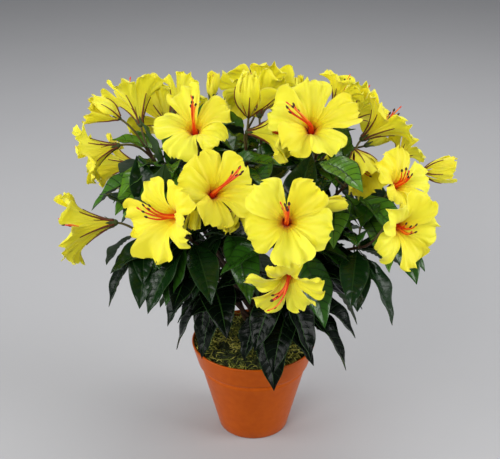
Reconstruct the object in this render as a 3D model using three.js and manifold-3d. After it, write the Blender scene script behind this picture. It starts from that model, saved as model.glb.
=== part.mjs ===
// An artificial hibiscus shrub standing in a terracotta-coloured plastic pot.
//
// The pot is filled with a weight and topped with moss. One short main stem rises from it and carries
// wired boughs. Each bough ends in a spray: a stem with a whorl of drooping leaves, and above it a
// cluster of yellow blooms, half-open blooms and buds on their own twigs. Six skirts of leaves hang
// from the main stem over the rim of the pot.
//
// Millimetres, +Z up. The origin is the centre of the pot's flat underside. A heading is the angle
// seen from above, 0 along +X, 90 along +Y, and the front of the plant is -90. A tilt is the angle
// above the horizon.
import * as THREE from "three";
import Module from "manifold-3d";

const wasm = await Module();
wasm.setup();

// Gap that neighbouring solids keep, and the length under which an edge is closed up
const GAP = 0.3;
const SMALLEST_EDGE = 0.03;

const POT = {
  rimRadius: 65, footRadius: 36, height: 102, collar: 24.5, step: 1.8,
  wall: 2.4, floor: 3, edge: 1.2, sides: 40,
};
const FILLING = { top: 82, sides: 24 };
const MOSS = { edge: 96, crown: 108, sides: 20, rings: 3, bump: 3.2 };
const TRUNK = {
  foot: FILLING.top + GAP, top: 168, footRadius: 9.5, flareHeight: 12, radius: 7, topRadius: 5,
  lean: [2, -4], sides: 8, sections: 6,
};
const BOUGH = {
  footRadius: 2.3, tipRadius: 1.8, sides: 5, sections: 4, lowest: 120, highest: 158, steepest: 50, pull: 0.38,
};
const STEM = { length: 26, footRadius: 1.7, tipRadius: 1.4, sides: 5 };
// A skirt's stem: how far it runs into the spray's own kind of stem, and how much thicker its foot is
const SKIRT_STEM = { overlap: 2, foot: 1.2, sections: 3 };
const TWIG = {
  footRadius: 1.3, tipRadius: 1.1, sides: 3, sections: 5, clear: 0.7, spacing: 1.7, turn: 0.15, sunk: 3,
  pull: 0.42,
};
const LEAF = {
  length: 84, width: 31, thickness: 1.1, petiole: 0.9, fold: 17, droop: 0.95,
  // share of the length, share of the half width
  outline: [[0.18, 0.2], [0.47, 1], [0.76, 0.66]],
  open: 66, firstBelowTip: 4, spacing: 3, clear: 0.45, steps: 24,
  // share of the length, from the root, over which the leaves of a whorl may run into one another
  shared: 0.3,
  // how far the leaves of a whorl differ in size and in droop, and stray from their even places
  sizes: [0.84, 1.12], bends: [0.75, 1.25], stray: 9,
};
// A skirt's leaves are longer, droop more and stand closer to their stem than a spray's
const HANGING = { length: LEAF.length * 1.08, droop: LEAF.droop * 1.5, open: 60 };
const PETAL = {
  count: 5, length: 56, thickness: 1.3, ruffle: 3.4, rootRadius: 2.2,
  // share of the length, half width in millimetres
  outline: [[0.25, 4.6], [0.52, 12.5], [0.8, 18], [1, 8.5]],
  // half the angle that one petal may take up, just short of a fifth of a turn
  sector: 34,
};
const THROAT = { depth: 15, floor: 8, floorRadius: 3, calyxRadius: 3.2, calyxHeight: 1.5, foot: 1 };
const STAMENS = { length: 34, rise: 11 };
const BUD = {
  length: 34, radius: 6.5, sides: 5, turn: 24,
  // share of the length, or millimetres behind the calyx if below 0, and share of the radius
  outline: [[-3, 0.25], [0, 0.42], [0.35, 0.95], [0.72, 0.8], [1, 0.3]],
};

// How far the petals of each kind of bloom lean out from its axis, at the root and at the rim, and how
// much of the stamens' length and rise it has room for
const KINDS = {
  open: { root: 12, rim: 92, stamens: 1 },
  trumpet: { root: 10, rim: 66, stamens: 1 },
  half: { root: 34, rim: 8, stamens: 1 },
  closed: { root: 36, rim: -30, stamens: 0.3 },
};

const COLOURS = {
  pot: "#c65f22", filling: "#8f8a80", moss: "#6d7336", trunk: "#4d3a22", bough: "#58432a",
  leaf: "#17391c", bloom: "#f2e233",
};

// A bloom: kind, heading, reach and height of its throat, heading and tilt of its face, size, roll
const bloom = (kind, heading, reach, height, face, tilt, size = 1, roll = 0) =>
  ({ kind, heading, reach, height, face, tilt, size, roll });

// A spray: where its whorl of leaves sits, how its stem tilts, its leaves and its blooms
const SPRAYS = [
  { name: "left_high", heading: 172, reach: 96, height: 292, lean: 55, leaves: 6, blooms: [
    bloom("trumpet", 161, 122, 338, 112, 54, 0.92, 10),
    bloom("trumpet", 183, 144, 316, 190, -12, 0.88, 20),
    bloom("closed", 174, 140, 345, 172, 30, 0.68),
  ] },
  { name: "left_low", heading: 205, reach: 116, height: 247, lean: 25, leaves: 6, blooms: [
    bloom("trumpet", 201, 158, 258, 188, -4, 1.08, 30),
  ] },
  { name: "front_left", heading: 229, reach: 96, height: 252, lean: 40, leaves: 6, blooms: [
    bloom("open", 237, 134, 291, 222, 12, 0.98, 22),
    bloom("bud", 244, 122, 290, 250, -55, 0.8),
  ] },
  { name: "top_left", heading: 190, reach: 52, height: 303, lean: 72, leaves: 5, blooms: [
    bloom("open", 200, 60, 341, 262, 52, 0.96, 5),
    bloom("trumpet", 146, 92, 342, 62, 32, 0.8),
    bloom("bud", 144, 50, 366, 60, 80, 0.85),
  ] },
  { name: "front_mid", heading: 246, reach: 64, height: 262, lean: 55, leaves: 5, blooms: [
    bloom("open", 248, 95, 304, 289, 38, 1, 0),
    bloom("closed", 259, 100, 284, 262, -15, 0.62, 30),
  ] },
  { name: "front_right", heading: 298, reach: 88, height: 254, lean: 40, leaves: 6, blooms: [
    bloom("open", 283, 128, 291, 271, 26, 1, 20),
    bloom("bud", 306, 115, 294, 5, 8, 0.95, 10),
  ] },
  { name: "front_low", heading: 290, reach: 84, height: 210, lean: 15, leaves: 5, blooms: [
    bloom("open", 284, 128, 235, 262, -27, 0.9, 54),
  ] },
  { name: "top_mid", heading: 150, reach: 8, height: 300, lean: 84, leaves: 5, blooms: [
    bloom("closed", 110, 12, 356, 290, 80, 0.92),
    bloom("trumpet", 8, 7, 330, 345, 4, 0.9, 20),
  ] },
  { name: "top_right", heading: 350, reach: 60, height: 306, lean: 70, leaves: 5, blooms: [
    bloom("open", 333, 61, 345, 272, 42, 1.06, 52),
    bloom("trumpet", 14, 84, 358, 35, 50, 0.68),
    bloom("bud", 38, 56, 366, 90, 80, 0.6),
  ] },
  { name: "right_high", heading: 346, reach: 92, height: 285, lean: 50, leaves: 6, blooms: [
    bloom("trumpet", 6, 118, 328, 12, 34, 0.95, 10),
    bloom("half", 344, 104, 312, 292, -34, 0.8),
  ] },
  { name: "right_mid", heading: 352, reach: 124, height: 262, lean: 32, leaves: 6, blooms: [
    bloom("open", 338, 145, 298, 308, 36, 0.86, 34),
    bloom("half", 353, 172, 298, 0, 5, 0.64),
    bloom("trumpet", 18, 158, 288, 46, 30, 0.64),
  ] },
  { name: "right_low", heading: 326, reach: 122, height: 240, lean: 24, leaves: 6, blooms: [
    bloom("open", 327, 160, 268, 298, 5, 0.92, 24),
  ] },
  { name: "back_right", heading: 48, reach: 108, height: 272, lean: 42, leaves: 7, blooms: [
    bloom("open", 42, 140, 318, 50, 30, 1, 10),
    bloom("trumpet", 62, 138, 280, 70, 0, 0.95, 40),
    bloom("bud", 26, 140, 300, 20, 20, 0.8),
  ] },
  { name: "back_mid", heading: 95, reach: 104, height: 282, lean: 45, leaves: 7, blooms: [
    bloom("open", 88, 122, 326, 85, 36, 1.05),
    bloom("open", 104, 156, 280, 105, 4, 0.95, 30),
  ] },
  { name: "back_left", heading: 138, reach: 112, height: 262, lean: 38, leaves: 7, blooms: [
    bloom("open", 132, 142, 306, 130, 25, 1, 15),
    bloom("trumpet", 150, 156, 268, 160, -5, 0.95),
    bloom("bud", 122, 148, 272, 115, 10, 0.8),
  ] },
  { name: "back_top", heading: 80, reach: 42, height: 300, lean: 72, leaves: 5, blooms: [
    bloom("open", 84, 66, 338, 85, 40, 0.95, 20),
  ] },
];

// Skirts: leaves that hang from stems of their own, and the height and the tilt at which each stem
// leaves the main stem. The front ones keep a part of their round free, where the moss shows.
const SKIRTS = [
  { name: "skirt_front", heading: 281, reach: 46, height: 166, start: 113,
    tilt: 30, leaves: 5, from: 62, span: 290 },
  { name: "skirt_left", heading: 217, reach: 60, height: 184, start: 113,
    tilt: 36, leaves: 6, from: 190, span: 300 },
  { name: "skirt_right", heading: 307, reach: 66, height: 178, start: 114,
    tilt: 30, leaves: 5, from: -5, span: 300 },
  { name: "skirt_back_right", heading: 38, reach: 60, height: 172, start: 113, tilt: 30, leaves: 6 },
  { name: "skirt_back", heading: 95, reach: 62, height: 180, start: 114, tilt: 30, leaves: 5 },
  { name: "skirt_back_left", heading: 150, reach: 60, height: 172, start: 113, tilt: 30, leaves: 6 },
].map((one) => ({ lean: 20, ...one }));

const radians = THREE.MathUtils.degToRad;
const lerp = THREE.MathUtils.lerp;
const at = (x, y, z) => new THREE.Vector3(x, y, z);
const UP = at(0, 0, 1);

// A unit vector from a heading and a tilt in degrees
function towards(heading, tilt) {
  const level = Math.cos(radians(tilt));
  return at(level * Math.cos(radians(heading)), level * Math.sin(radians(heading)), Math.sin(radians(tilt)));
}

// A point from its heading, its reach from the axis and its height
const place = ({ heading, reach, height }) => towards(heading, 0).multiplyScalar(reach).setZ(height);

// Repeatable chance between 0 and 1 from two whole numbers
function chance(a, b) {
  const v = Math.sin(a * 12.9898 + b * 78.233) * 43758.5453;
  return v - Math.floor(v);
}

// start + direction * length, as a new point
const step = (start, direction, length) => start.clone().addScaledVector(direction, length);

// One unit vector turned by an angle in degrees towards a second one that is square to it
function between(first, second, angle) {
  return step(first.clone().multiplyScalar(Math.cos(radians(angle))), second, Math.sin(radians(angle)));
}

// Two unit vectors square to an axis and to each other
function squareTo(axis) {
  const side = Math.abs(axis.z) > 0.99 ? at(1, 0, 0) : axis.clone().cross(UP).normalize();
  return [side, axis.clone().cross(side).normalize()];
}

// A closed geometry through rings of equally many points, capped at both ends. A ring may be one point.
// On a blade, the quads of its two sides are cut along the same diagonals, so that neither side passes
// through the other where the blade twists.
function loft(rings, isBlade = false) {
  const points = [];
  const faces = [];
  const starts = rings.map((ring) => points.push(...ring) - ring.length);
  for (let r = 0; r + 1 < rings.length; r++) {
    const [a, b] = [rings[r], rings[r + 1]];
    const count = Math.max(a.length, b.length);
    for (let i = 0; i < count; i++) {
      const j = (i + 1) % count;
      const isBack = isBlade && i >= count / 2 && a.length > 1 && b.length > 1;
      const corner = isBack ? i : j;
      const far = isBack ? j : i;
      const [low, high] = [starts[r], starts[r + 1]];
      if (a.length > 1) faces.push([low + i, low + j, high + (b.length > 1 ? corner : 0)]);
      if (b.length > 1) faces.push([low + (a.length > 1 ? far : 0), high + j, high + i]);
    }
  }
  for (const [r, turned] of [[0, true], [rings.length - 1, false]]) {
    for (let i = 1; i + 1 < rings[r].length; i++) {
      const [p, q] = turned ? [i + 1, i] : [i, i + 1];
      faces.push([starts[r], starts[r] + p, starts[r] + q]);
    }
  }
  const geometry = new THREE.BufferGeometry().setFromPoints(points);
  geometry.setIndex(faces.flat());
  return geometry;
}

// The manifold solid of a closed indexed geometry, turned right side out
function solid(geometry) {
  const vertProperties = new Float32Array(geometry.attributes.position.array);
  const triVerts = new Uint32Array(geometry.index.array);
  const make = () => new wasm.Manifold(new wasm.Mesh({ numProp: 3, vertProperties, triVerts }));
  const made = make();
  if (made.volume() > 0) return made;
  for (let i = 0; i < triVerts.length; i += 3) {
    [triVerts[i], triVerts[i + 1]] = [triVerts[i + 1], triVerts[i]];
  }
  return make();
}

const fuse = (solids) => solids.reduce((all, one) => all.add(one));

// The largest body of a solid, without loose scraps
function largest(body) {
  return body.decompose().reduce((best, one) => (one.volume() > best.volume() ? one : best));
}

function geometryOf(body) {
  const { vertProperties, triVerts } = largest(body.simplify(SMALLEST_EDGE)).getMesh();
  const geometry = new THREE.BufferGeometry();
  geometry.setAttribute("position", new THREE.BufferAttribute(vertProperties, 3));
  geometry.setIndex(new THREE.BufferAttribute(triVerts, 1));
  return geometry;
}

// True if two solids share space. Their boxes are compared first.
function touches(a, b) {
  const [p, q] = [a.boundingBox(), b.boundingBox()];
  for (let i = 0; i < 3; i++) if (p.min[i] > q.max[i] || q.min[i] > p.max[i]) return false;
  return a.intersect(b).volume() > 1e-6;
}

const isClear = (one, others) => others.every((other) => !touches(one, other));

// The directions of a ring square to a curve. A limb with few sides is carried: its rings take their
// directions over from the ring before, or it would twist through itself where the curve is steep.
function ringFrame(tangent, before) {
  if (!before) return squareTo(tangent);
  const side = step(before, tangent, -before.dot(tangent)).normalize();
  return [side, tangent.clone().cross(side)];
}

// A limb of round section that tapers along a curve
function limb(curve, footRadius, tipRadius, sides, sections, isCarried = false) {
  const rings = [];
  let before = null;
  for (let s = 0; s <= sections; s++) {
    const share = s / sections;
    const [u, v] = ringFrame(curve.getTangent(share), isCarried ? before : null);
    before = u;
    const centre = curve.getPoint(share);
    const radius = lerp(footRadius, tipRadius, share);
    rings.push(Array.from({ length: sides }, (_, i) => {
      const turn = (2 * Math.PI * i) / sides;
      return step(step(centre, u, radius * Math.cos(turn)), v, radius * Math.sin(turn));
    }));
  }
  return solid(loft(rings));
}

// A curve that leaves one point along one direction and reaches another along a second one
function bow(from, leaving, to, arriving, pull) {
  const reach = from.distanceTo(to) * pull;
  return new THREE.CubicBezierCurve3(from, step(from, leaving, reach), step(to, arriving, -reach), to);
}

// Point pairs turned about the axis, as a closed solid
function turned(profile, sides) {
  const rings = profile.map(([radius, height]) => (radius === 0 ? [at(0, 0, height)]
    : Array.from({ length: sides }, (_, i) => {
      const turn = (2 * Math.PI * i) / sides;
      return at(radius * Math.cos(turn), radius * Math.sin(turn), height);
    })));
  return solid(loft(rings));
}

// Radius of the pot's outer wall at a height, below the collar's step
function potRadius(height) {
  return lerp(POT.footRadius, POT.rimRadius, height / POT.height);
}

function pot() {
  const { rimRadius, footRadius, height, collar, step: ledge, wall, floor, edge, sides } = POT;
  const shoulder = height - collar;
  return turned([
    [0, 0], [footRadius - edge, 0], [potRadius(edge), edge], [potRadius(shoulder) - ledge, shoulder],
    [potRadius(shoulder), shoulder + edge], [rimRadius, height - edge], [rimRadius - edge / 2, height],
    [rimRadius - wall, height], [potRadius(shoulder) - wall, shoulder],
    [potRadius(floor) - wall - ledge, floor], [0, floor],
  ], sides);
}

// Inner radius of the pot at a height
function potInside(height) {
  const shoulder = POT.height - POT.collar;
  return height < shoulder
    ? lerp(potRadius(POT.floor) - POT.wall - POT.step, potRadius(shoulder) - POT.wall,
      (height - POT.floor) / (shoulder - POT.floor))
    : lerp(potRadius(shoulder) - POT.wall, POT.rimRadius - POT.wall, (height - shoulder) / POT.collar);
}

// A body of this many sides would cross the pot's own facets, so it is drawn in by their sagitta
const drawnIn = (radius) => radius * Math.cos(Math.PI / POT.sides) - GAP;

function filling() {
  const low = POT.floor + GAP;
  const shoulder = POT.height - POT.collar;
  return turned([
    [0, low], [drawnIn(potInside(low)), low], [drawnIn(potInside(shoulder)), shoulder],
    [drawnIn(potInside(FILLING.top)), FILLING.top], [0, FILLING.top],
  ], FILLING.sides);
}

// The moss: a shallow dome with uneven cushions on it
function moss() {
  const low = FILLING.top + GAP;
  const lowRadius = drawnIn(potInside(low));
  const edgeRadius = drawnIn(potInside(MOSS.edge));
  const ring = (radius, height, bump, seed) => Array.from({ length: MOSS.sides }, (_, i) => {
    const turn = (2 * Math.PI * i) / MOSS.sides;
    return at(radius * Math.cos(turn), radius * Math.sin(turn), height + bump * (2 * chance(i, seed) - 1));
  });
  const rings = [[at(0, 0, low)], ring(lowRadius, low, 0, 0), ring(edgeRadius, MOSS.edge, MOSS.bump / 2, 1)];
  for (let r = 1; r <= MOSS.rings; r++) {
    const share = r / (MOSS.rings + 1);
    const height = lerp(MOSS.edge, MOSS.crown, Math.sin((share * Math.PI) / 2));
    rings.push(ring(edgeRadius * (1 - share), height, MOSS.bump, r + 1));
  }
  rings.push([at(0, 0, MOSS.crown)]);
  return solid(loft(rings));
}

// The main stem's middle line at a height
function trunkPoint(height) {
  const share = (height - TRUNK.foot) / (TRUNK.top - TRUNK.foot);
  return at(TRUNK.lean[0] * share, TRUNK.lean[1] * share, height);
}

// The main stem: a flared foot on the filling, then a slight taper, grown by the gap asked for
function trunk(grow = 0) {
  const rings = [];
  for (let s = 0; s <= TRUNK.sections; s++) {
    const height = lerp(TRUNK.foot, TRUNK.top, (s / TRUNK.sections) ** 1.5);
    const flare = Math.exp(-(height - TRUNK.foot) / TRUNK.flareHeight) * (TRUNK.footRadius - TRUNK.radius);
    const share = (height - TRUNK.foot) / (TRUNK.top - TRUNK.foot);
    const radius = lerp(TRUNK.radius, TRUNK.topRadius, share) + flare + grow;
    const centre = trunkPoint(height);
    if (grow && s === 0) centre.z -= 2 * grow;
    if (grow && s === TRUNK.sections) centre.z += grow;
    rings.push(Array.from({ length: TRUNK.sides }, (_, i) => {
      const turn = (2 * Math.PI * i) / TRUNK.sides;
      return at(radius * Math.cos(turn), radius * Math.sin(turn), 0).add(centre);
    }));
  }
  return solid(loft(rings));
}

// One leaf: a folded blade on a short petiole, which bends down under its own weight and keeps its
// top up. root is inside the stem, and leaving is its first direction.
function leaf({ root, leaving, length, width, droop, grow = 0 }) {
  const cuts = [[0, 0], ...LEAF.outline, [1, 0]];
  const { steps } = LEAF;
  const points = [root.clone()];
  const tangents = [leaving.clone()];
  for (let i = 1; i <= steps; i++) {
    const bent = step(tangents[i - 1], UP, -droop / steps).normalize();
    points.push(step(points[i - 1], bent, length / steps));
    tangents.push(bent);
  }
  const rings = cuts.map(([share, wide], i) => {
    const k = Math.round(share * steps);
    const [centre, tangent] = [points[k], tangents[k]];
    const normal = step(UP, tangent, -tangent.z).normalize();
    const side = tangent.clone().cross(normal).normalize();
    if (i === cuts.length - 1) return [step(centre, tangent, grow)];
    const half = i === 0 ? LEAF.petiole : (wide * width) / 2 + grow;
    const rise = i === 0 ? 0 : half * Math.tan(radians(LEAF.fold));
    const thick = (i === 0 ? LEAF.petiole * 2 : LEAF.thickness) + 2 * grow;
    return [
      step(step(centre, side, half), normal, rise),
      step(centre, normal, thick / 2),
      step(step(centre, side, -half), normal, rise),
      step(centre, normal, -thick / 2),
    ];
  });
  return solid(loft(rings, true));
}

// The leaves of a whorl round a stem, each turned a little until it is clear of what stands there
const TURNS = [0, 12, -12, 24, -24, 36, -36, 48];
const LIFTS = [0, -14, 14];

function whorl({ tip, axis, count, seed, from = 0, span = 360, length, droop, open, blocked }) {
  const [u, v] = squareTo(axis);
  const made = [];
  for (let i = 0; i < count; i++) {
    const size = length * lerp(...LEAF.sizes, chance(seed, i));
    const bend = droop * lerp(...LEAF.bends, chance(seed, i + 40));
    const base = from + (span * (i + 0.5)) / count + lerp(-LEAF.stray, LEAF.stray, chance(seed, i + 80));
    const root = step(tip, axis, -(LEAF.firstBelowTip + LEAF.spacing * i));
    const tries = LIFTS.flatMap((lift) => TURNS.map((turn) => [base + turn, open + lift]));
    for (const [turn, lean] of tries) {
      const outwards = between(u, v, turn);
      const leaving = between(axis, outwards, lean);
      const shape = { root, leaving, length: size, width: LEAF.width * (size / LEAF.length), droop: bend };
      const room = leaf({ ...shape, grow: LEAF.clear });
      if (blocked.some((other) => touches(room, other))) continue;
      const kept = leaf(shape);
      if (made.some((other) => touches(kept, other.outer))) continue;
      made.push({ solid: kept, outer: leafBlade(shape) });
      break;
    }
  }
  return made.map((one) => one.solid);
}

// The outer part of a leaf, which may not cross another leaf of its own whorl
function leafBlade(shape) {
  const room = leaf(shape);
  return room.subtract(solid(ball(shape.root, shape.length * LEAF.shared)));
}

function ball(centre, radius) {
  const rings = [-90, -30, 30, 90].map((tilt) => (Math.abs(tilt) === 90
    ? [step(centre, UP, radius * Math.sign(tilt))]
    : Array.from({ length: 6 }, (_, i) => step(centre, towards(60 * i, tilt), radius))));
  return loft(rings);
}

// A ring of points round a bloom's axis
function bloomRing(frame, calyx, radius, height, sides, turn) {
  return Array.from({ length: sides }, (_, i) =>
    step(step(calyx, frame.axis, height), around(frame, turn + (360 * i) / sides), radius));
}

// The frame of a bloom: its axis and two directions square to it, turned by its roll
function bloomFrame({ face, tilt, roll }) {
  const axis = towards(face, tilt);
  const [side, over] = squareTo(axis);
  return { axis, side, over, roll };
}

// A direction square to the bloom's axis
function around({ side, over, roll }, turn) {
  return between(side, over, turn + roll);
}

// Radius and height of a petal's middle line, and its lean, at a share of its length
function petalLine(kind, size, share) {
  const steps = 20;
  const leanAt = (part) => radians(lerp(kind.root, kind.rim, part * part * (3 - 2 * part)));
  let [radius, height] = [PETAL.rootRadius * size, 0];
  for (let i = 0; i < Math.round(share * steps); i++) {
    const lean = leanAt((i + 0.5) / steps);
    radius += ((PETAL.length * size) / steps) * Math.sin(lean);
    height += ((PETAL.length * size) / steps) * Math.cos(lean);
  }
  return { radius, height, lean: leanAt(share) };
}

// One cross-section of a petal: left edge, middle of the inner side, right edge, middle of the back
function petalSection(frame, calyx, one, turn, i) {
  const [share, wide] = PETAL.outline[i];
  const { radius, height, lean } = petalLine(KINDS[one.kind], one.size, share);
  const outwards = around(frame, turn);
  const across = frame.axis.clone().cross(outwards);
  const centre = step(step(calyx, outwards, radius), frame.axis, height);
  const inner = outwards.clone().multiplyScalar(-Math.cos(lean)).addScaledVector(frame.axis, Math.sin(lean));
  const half = Math.min(wide * one.size, radius * radians(PETAL.sector));
  const curl = Math.max((half * Math.cos(lean)) / radius, 0.01);
  const reach = (half * Math.sin(curl)) / curl;
  const rise = (half * (1 - Math.cos(curl))) / curl;
  const wave = PETAL.ruffle * one.size * share * Math.sin(lean) * (i % 2 ? 1 : -1);
  const thick = PETAL.thickness / 2;
  return [
    step(step(centre, across, -reach), inner, rise - wave / 2),
    step(centre, inner, thick),
    step(step(centre, across, reach), inner, rise + wave / 2),
    step(centre, inner, -thick),
  ];
}

// An open, trumpet-shaped, half-open or closed bloom as one skin: five petals round a throat that is closed
// by a floor with the bundle of stamens on it, and behind it the calyx
function openBloom(one) {
  const frame = bloomFrame(one);
  const calyx = calyxOf(one);
  const points = [];
  const faces = [];
  const add = (point) => points.push(point) - 1;
  const ring = (radius, height) => Array.from({ length: PETAL.count }, (_, i) =>
    add(step(step(calyx, frame.axis, height), around(frame, (360 * i) / PETAL.count), radius)));
  const floor = ring(THROAT.floorRadius * one.size, THROAT.floor * one.size);
  const back = ring(THROAT.calyxRadius * one.size, THROAT.calyxHeight);
  const room = KINDS[one.kind].stamens * one.size;
  const farthest = step(calyx, frame.axis, THROAT.floor * one.size + STAMENS.length * room);
  const tip = add(step(farthest, UP, STAMENS.rise * room));
  const low = add(step(calyx, frame.axis, -THROAT.foot));
  const petals = Array.from({ length: PETAL.count }, (_, p) => PETAL.outline.map((_, i) =>
    petalSection(frame, calyx, one, (360 * p) / PETAL.count, i).map(add)));
  petals.forEach((sections, p) => {
    const q = (p + 1) % PETAL.count;
    for (let i = 0; i + 1 < sections.length; i++) {
      for (let k = 0; k < 4; k++) {
        const [a, b] = [sections[i][k], sections[i][(k + 1) % 4]];
        const [c, d] = [sections[i + 1][(k + 1) % 4], sections[i + 1][k]];
        // The back's quads are cut along the same diagonals as the front's, so the two never cross
        faces.push(...(k < 2 ? [[a, b, c], [a, c, d]] : [[a, b, d], [b, c, d]]));
      }
    }
    const last = sections[sections.length - 1];
    faces.push([last[0], last[1], last[2]], [last[0], last[2], last[3]]);
    const [left, top, right, under] = sections[0];
    const next = petals[q][0][0];
    faces.push([left, floor[p], top], [top, floor[p], right], [right, floor[p], next]);
    faces.push([left, under, back[p]], [under, right, back[p]], [right, next, back[p]]);
    faces.push([next, floor[p], floor[q]], [next, back[q], back[p]]);
    faces.push([floor[p], tip, floor[q]], [back[p], back[q], low]);
  });
  const geometry = new THREE.BufferGeometry().setFromPoints(points);
  geometry.setIndex(faces.flat());
  return solid(geometry);
}

// A closed bud
function budBloom(one) {
  const frame = bloomFrame(one);
  const calyx = calyxOf(one);
  return solid(loft(BUD.outline.map(([share, wide], i) => bloomRing(
    frame, calyx, BUD.radius * wide * one.size,
    share < 0 ? share : share * BUD.length * one.size, BUD.sides, BUD.turn * i,
  ))));
}

// Where a bloom's calyx sits, behind its throat
const calyxOf = (one) => step(place(one), towards(one.face, one.tilt), -THROAT.depth * one.size);

const bloomSolid = (one) => (one.kind === "bud" ? budBloom(one) : openBloom(one));

// The blooms of a spray, on twigs that leave one after the other just above the tip of its stem
function bloomCluster(spray) {
  const axis = towards(spray.heading, spray.lean);
  return fuse(spray.blooms.flatMap((one, i) => {
    const facing = towards(one.face, one.tilt);
    const from = step(place(spray), axis, TWIG.clear + TWIG.spacing * i);
    const leaving = step(axis, facing, TWIG.turn).normalize();
    const curve = bow(from, leaving, step(calyxOf(one), facing, TWIG.sunk), facing, TWIG.pull);
    const { footRadius, tipRadius, sides, sections } = TWIG;
    return [limb(curve, footRadius, tipRadius, sides, sections, true), bloomSolid(one)];
  }));
}

// How steeply a spray's bough has to climb, in degrees
function climb({ reach, height }) {
  return THREE.MathUtils.radToDeg(Math.atan2(height - (BOUGH.lowest + BOUGH.highest) / 2, reach));
}

// A limb from the main stem, which leaves it to one side if another limb is in its way
const SIDESTEPS = [0, 14, -14, 28, -28, 42, -42, 56, -56];

function limbFromTrunk({ start, heading, tilt, to, arriving, radii, sections }) {
  const along = (turn) => bow(start, towards(heading + turn, tilt), to, arriving, BOUGH.pull);
  const made = (turn, grow) => largest(
    limb(along(turn), radii[0] + grow, radii[1] + grow, BOUGH.sides, sections).subtract(trunkRoom));
  const turn = SIDESTEPS.find((one) => isClear(made(one, GAP), standing));
  return made(turn ?? 0, 0);
}

// The bough of a spray: from the main stem to the foot of the spray's own stem. The flatter it lies,
// the lower it leaves the main stem.
function bough(spray) {
  const rank = SPRAYS.filter((other) => climb(other) < climb(spray)).length;
  const arriving = towards(spray.heading, spray.lean);
  return limbFromTrunk({
    start: trunkPoint(lerp(BOUGH.lowest, BOUGH.highest, rank / (SPRAYS.length - 1))),
    heading: spray.heading, tilt: Math.min(climb(spray), BOUGH.steepest),
    to: step(place(spray), arriving, -(STEM.length + GAP)), arriving,
    radii: [BOUGH.footRadius, BOUGH.tipRadius], sections: BOUGH.sections,
  });
}

// The stem of a skirt, which leaves the main stem below the boughs and ends among its leaves
function skirtStem(one) {
  const arriving = towards(one.heading, one.lean);
  return fuse([sprayStem(one), limbFromTrunk({
    start: trunkPoint(one.start), heading: one.heading, tilt: one.tilt,
    to: step(place(one), arriving, SKIRT_STEM.overlap - STEM.length), arriving,
    radii: [STEM.footRadius * SKIRT_STEM.foot, STEM.footRadius], sections: SKIRT_STEM.sections,
  })]);
}

// The stem of a spray, from just past its bough to the tip with the leaves
function sprayStem(spray) {
  const tip = place(spray);
  const foot = step(tip, towards(spray.heading, spray.lean), -STEM.length);
  return limb(new THREE.LineCurve3(foot, tip), STEM.footRadius, STEM.tipRadius, STEM.sides, 1);
}

const shrub = new THREE.Group();
shrub.name = "hibiscus_shrub";

function addMesh(name, body, colour, roughness) {
  const material = new THREE.MeshStandardMaterial({ color: colour, roughness, metalness: 0 });
  const mesh = new THREE.Mesh(geometryOf(body), material);
  mesh.name = name;
  shrub.add(mesh);
}

const trunkSolid = trunk();
const trunkRoom = trunk(GAP);
const potSolid = pot();
const mossSolid = largest(moss().subtract(trunkRoom));
addMesh("pot", potSolid, COLOURS.pot, 0.55);
addMesh("filling", filling(), COLOURS.filling, 0.95);
addMesh("moss", mossSolid, COLOURS.moss, 1);
addMesh("main_stem", trunkSolid, COLOURS.trunk, 0.8);

// Limbs first, then the blooms, then the leaves, each kept clear of what stands already
const standing = [potSolid, mossSolid];
const boughs = SPRAYS.map((spray) => {
  standing.push(bough(spray));
  return standing.at(-1);
});
const stems = [...SPRAYS.map(sprayStem), ...SKIRTS.map((one) => {
  standing.push(skirtStem(one));
  return standing.at(-1);
})];
const blooms = SPRAYS.map(bloomCluster);
standing.push(trunkSolid, ...stems.slice(0, SPRAYS.length), ...blooms);
const masses = [...SPRAYS, ...SKIRTS].map((one, order) => {
  const { length, droop, open } = one.blooms ? LEAF : HANGING;
  const leaves = whorl({
    tip: place(one), axis: towards(one.heading, one.lean), count: one.leaves, seed: order + 1,
    length, droop, open, from: one.from, span: one.span,
    blocked: standing.filter((other) => other !== stems[order]),
  });
  const made = fuse([stems[order], ...leaves]);
  standing[standing.indexOf(stems[order])] = made;
  return made;
});
SPRAYS.forEach(({ name }, i) => addMesh("bough_" + name, boughs[i], COLOURS.bough, 0.8));
SPRAYS.forEach(({ name }, i) => addMesh("blooms_" + name, blooms[i], COLOURS.bloom, 0.6));
[...SPRAYS, ...SKIRTS].forEach(({ name }, i) => addMesh("leaves_" + name, masses[i], COLOURS.leaf, 0.35));

export default shrub;
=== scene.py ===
"""An artificial hibiscus shrub in a terracotta-coloured plastic pot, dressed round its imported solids.

The boughs, twigs, whorls of leaves and blooms follow the rules of the part's own source, and are
carried on to finer twigs, veins, stamens and sepals. Lengths are millimetres until a mesh is made.
A heading is the angle seen from above, 0 along +X; the front of the plant is -90 or 270. A tilt is
the angle above the horizon.
"""
import math

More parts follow.
